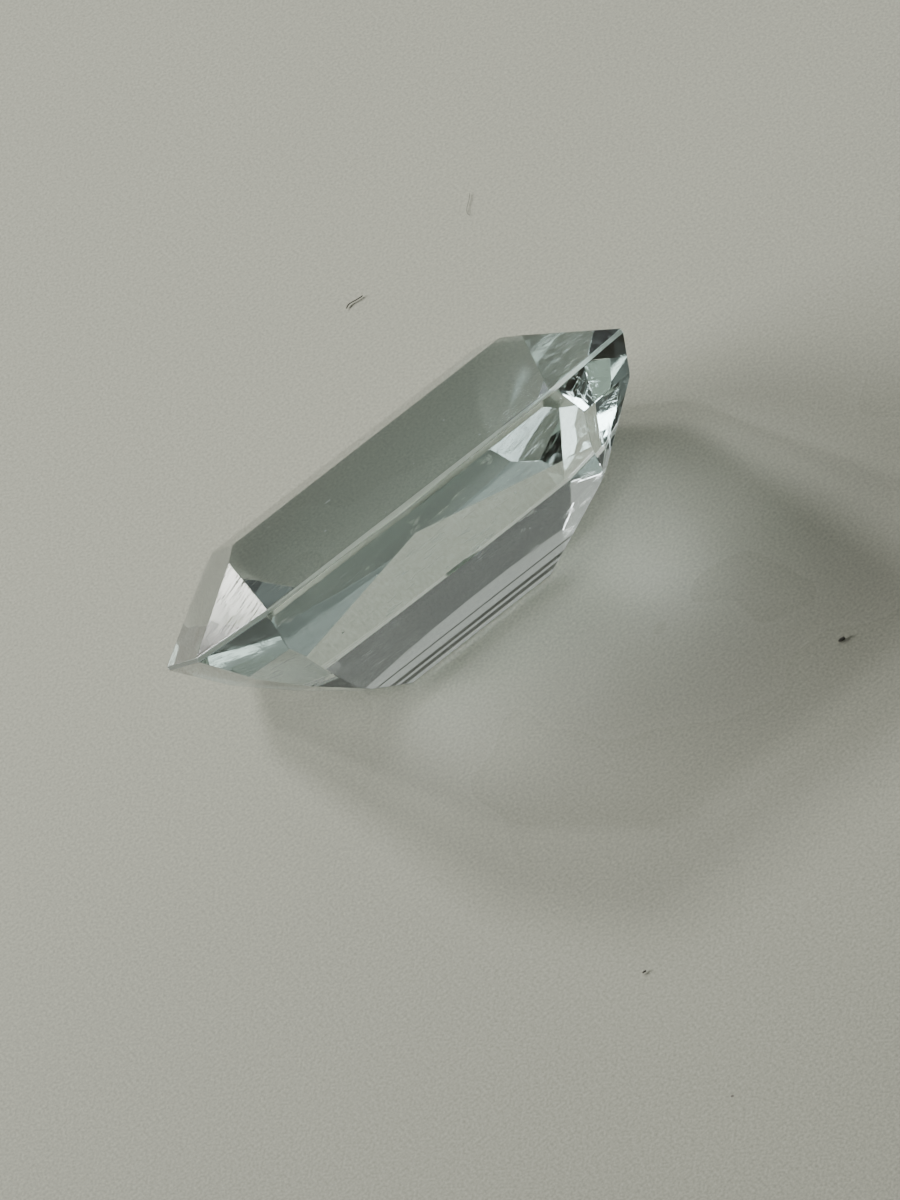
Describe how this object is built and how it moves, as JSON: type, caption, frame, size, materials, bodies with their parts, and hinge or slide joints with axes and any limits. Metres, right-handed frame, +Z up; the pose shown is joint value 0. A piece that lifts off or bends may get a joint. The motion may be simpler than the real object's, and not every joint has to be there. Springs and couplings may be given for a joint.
{
  "type": "faceted aquamarine gemstone",
  "caption": "Clear emerald-cut aquamarine: a long step-cut stone with a flat table, cropped corners and tiered facets underneath, lying on its side.",
  "frame": {"origin": "middle of the bottom of the stone's bounding box, on the surface it lies on", "axes": "+X along the stone, +Z up; the table leans towards +Y, and the underside facets face -Y"},
  "size_m": [0.015, 0.0066, 0.0071],
  "materials": {
    "beryl": "polished clear beryl with a very faint blue-green tint, IOR 1.577"
  },
  "bodies": {
    "root": {"aquamarine": "beryl"}
  },
  "joints": []
}
